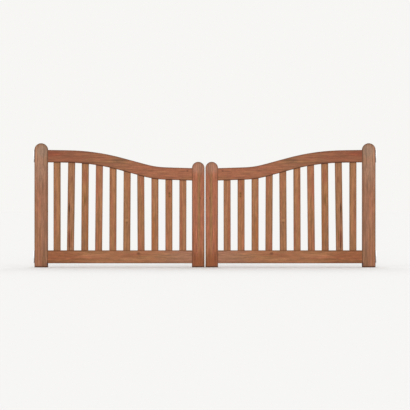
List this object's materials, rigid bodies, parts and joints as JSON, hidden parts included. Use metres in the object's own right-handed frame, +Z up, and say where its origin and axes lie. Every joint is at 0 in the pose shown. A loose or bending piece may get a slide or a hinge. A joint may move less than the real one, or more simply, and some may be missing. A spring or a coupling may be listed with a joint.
{
  "type": "double garden gate",
  "caption": "Double garden gate: mirrored hardwood leaves with round-headed stiles, swept S-curved top rails and housed flat slats, swinging inward on butt hinges.",
  "frame": {"origin": "on the post face of the left lower hinge, at the hinge's mid-height and the gate's mid-thickness", "axes": "+X along the gate to the right as seen from the front, +Y from front to back, +Z up"},
  "size_m": [2.764, 0.057, 1],
  "materials": {
    "hardwood_frame": "oiled, satin",
    "hardwood_slats": "oiled, satin",
    "hinge_steel": "zinc plated, dull"
  },
  "bodies": {
    "post_hinges": {"left_upper_hinge_post_leaf": "hinge_steel", "left_lower_hinge_post_leaf": "hinge_steel", "left_upper_hinge_pin": "hinge_steel", "left_lower_hinge_pin": "hinge_steel", "right_upper_hinge_post_leaf": "hinge_steel", "right_lower_hinge_post_leaf": "hinge_steel", "right_upper_hinge_pin": "hinge_steel", "right_lower_hinge_pin": "hinge_steel"},
    "left_leaf": {"left_hanging_stile": "hardwood_frame", "left_meeting_stile": "hardwood_frame", "left_top_rail": "hardwood_frame", "left_bottom_rail": "hardwood_frame", "left_slat_01": "hardwood_slats", "left_slat_02": "hardwood_slats", "left_slat_03": "hardwood_slats", "left_slat_04": "hardwood_slats", "left_slat_05": "hardwood_slats", "left_slat_06": "hardwood_slats", "left_slat_07": "hardwood_slats", "left_slat_08": "hardwood_slats", "left_slat_09": "hardwood_slats", "left_slat_10": "hardwood_slats", "left_upper_hinge_leaf": "hinge_steel", "left_lower_hinge_leaf": "hinge_steel"},
    "right_leaf": {"right_hanging_stile": "hardwood_frame", "right_meeting_stile": "hardwood_frame", "right_top_rail": "hardwood_frame", "right_bottom_rail": "hardwood_frame", "right_slat_01": "hardwood_slats", "right_slat_02": "hardwood_slats", "right_slat_03": "hardwood_slats", "right_slat_04": "hardwood_slats", "right_slat_05": "hardwood_slats", "right_slat_06": "hardwood_slats", "right_slat_07": "hardwood_slats", "right_slat_08": "hardwood_slats", "right_slat_09": "hardwood_slats", "right_slat_10": "hardwood_slats", "right_upper_hinge_leaf": "hinge_steel", "right_lower_hinge_leaf": "hinge_steel"}
  },
  "joints": [
    {"name": "left_leaf_swing", "type": "hinge", "parent": "post_hinges", "child": "left_leaf", "pos_m": [0.0055, 0.029, 0], "axis": [0, 0, 1], "range_deg": [0, 90]},
    {"name": "right_leaf_swing", "type": "hinge", "parent": "post_hinges", "child": "right_leaf", "pos_m": [2.7585, 0.029, 0], "axis": [0, 0, -1], "range_deg": [0, 90]}
  ]
}
